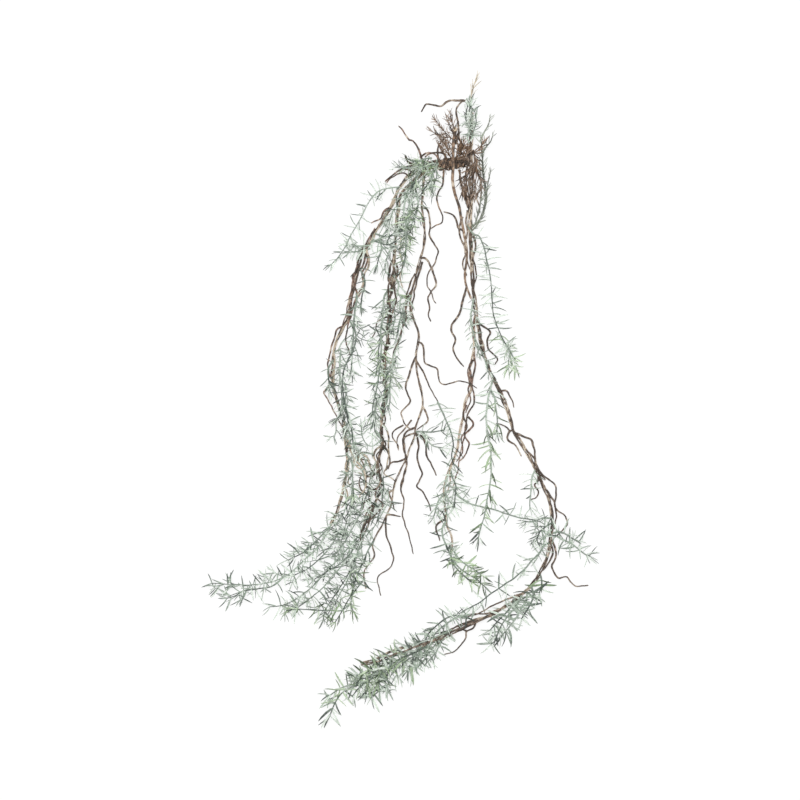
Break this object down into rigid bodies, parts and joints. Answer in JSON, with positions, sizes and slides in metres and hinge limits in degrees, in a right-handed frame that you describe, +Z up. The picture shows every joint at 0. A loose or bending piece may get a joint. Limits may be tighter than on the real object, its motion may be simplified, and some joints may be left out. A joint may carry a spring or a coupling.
{
  "type": "asparagus fern sprig",
  "caption": "Asparagus fern sprig: a cut woody stem bound to trailing twisted strands with wiry roots and pale needle-leaved shoots, lying flat on a surface.",
  "frame": {"origin": "middle of the box round the sprig, on the surface that it lies on", "axes": "+Y towards the crown and the cut stem, +X to the right seen from above, +Z up"},
  "size_m": [0.478, 0.7835, 0.0295],
  "materials": {
    "cut_wood": "matte bare wood",
    "red_bark": "matte bark",
    "dark_bark": "matte bark",
    "sage_needles": "soft matte leaf",
    "fresh_needles": "soft satin leaf",
    "olive_needles": "matte leaf",
    "dry_needles": "matte dry leaf",
    "pale_needles": "matte dry leaf"
  },
  "bodies": {
    "root": {"binding_knot": "dark_bark", "main_stem": "cut_wood", "strand_right": "dark_bark", "strand_right_inner": "red_bark", "strand_left_outer": "red_bark", "strand_left_middle": "dark_bark", "strand_left_inner": "dark_bark", "shoot_crown": "sage_needles", "shoot_crown_tip": "pale_needles", "shoot_right_loop": "olive_needles", "shoot_dry_left": "dry_needles", "shoot_dry_right": "dry_needles", "shoot_dry_knot": "dry_needles", "shoot_knot": "sage_needles", "shoot_arch": "sage_needles", "shoot_upper": "sage_needles", "shoot_bridge": "sage_needles", "shoot_left_gap": "sage_needles", "shoot_left_gap_low": "sage_needles", "shoot_centre_gap": "sage_needles", "shoot_outer": "sage_needles", "shoot_outer_low": "sage_needles", "shoot_middle": "sage_needles", "shoot_twin": "sage_needles", "shoot_lower": "sage_needles", "shoot_tangle_upper": "sage_needles", "shoot_tangle_side": "sage_needles", "shoot_tangle_lower": "sage_needles", "shoot_outer_tail": "sage_needles", "shoot_middle_tail": "sage_needles", "shoot_middle_fall": "sage_needles", "shoot_inner_tail": "fresh_needles", "shoot_branch": "sage_needles", "shoot_inner_low": "sage_needles", "shoot_right_side": "sage_needles", "shoot_right_strand": "sage_needles", "shoot_hanging": "fresh_needles", "shoot_right_inner": "sage_needles", "shoot_right_inner_low": "sage_needles", "shoot_cross": "sage_needles", "shoot_shoulder": "sage_needles", "shoot_elbow_knot": "sage_needles", "shoot_side_tip": "sage_needles", "shoot_loop": "sage_needles", "shoot_right_tail": "fresh_needles", "shoot_tail_upper": "sage_needles", "shoot_tail": "sage_needles", "shoot_tail_low": "sage_needles", "shoot_tail_side": "fresh_needles", "shoot_elbow": "sage_needles", "shoot_elbow_tuft": "sage_needles"}
  },
  "joints": []
}
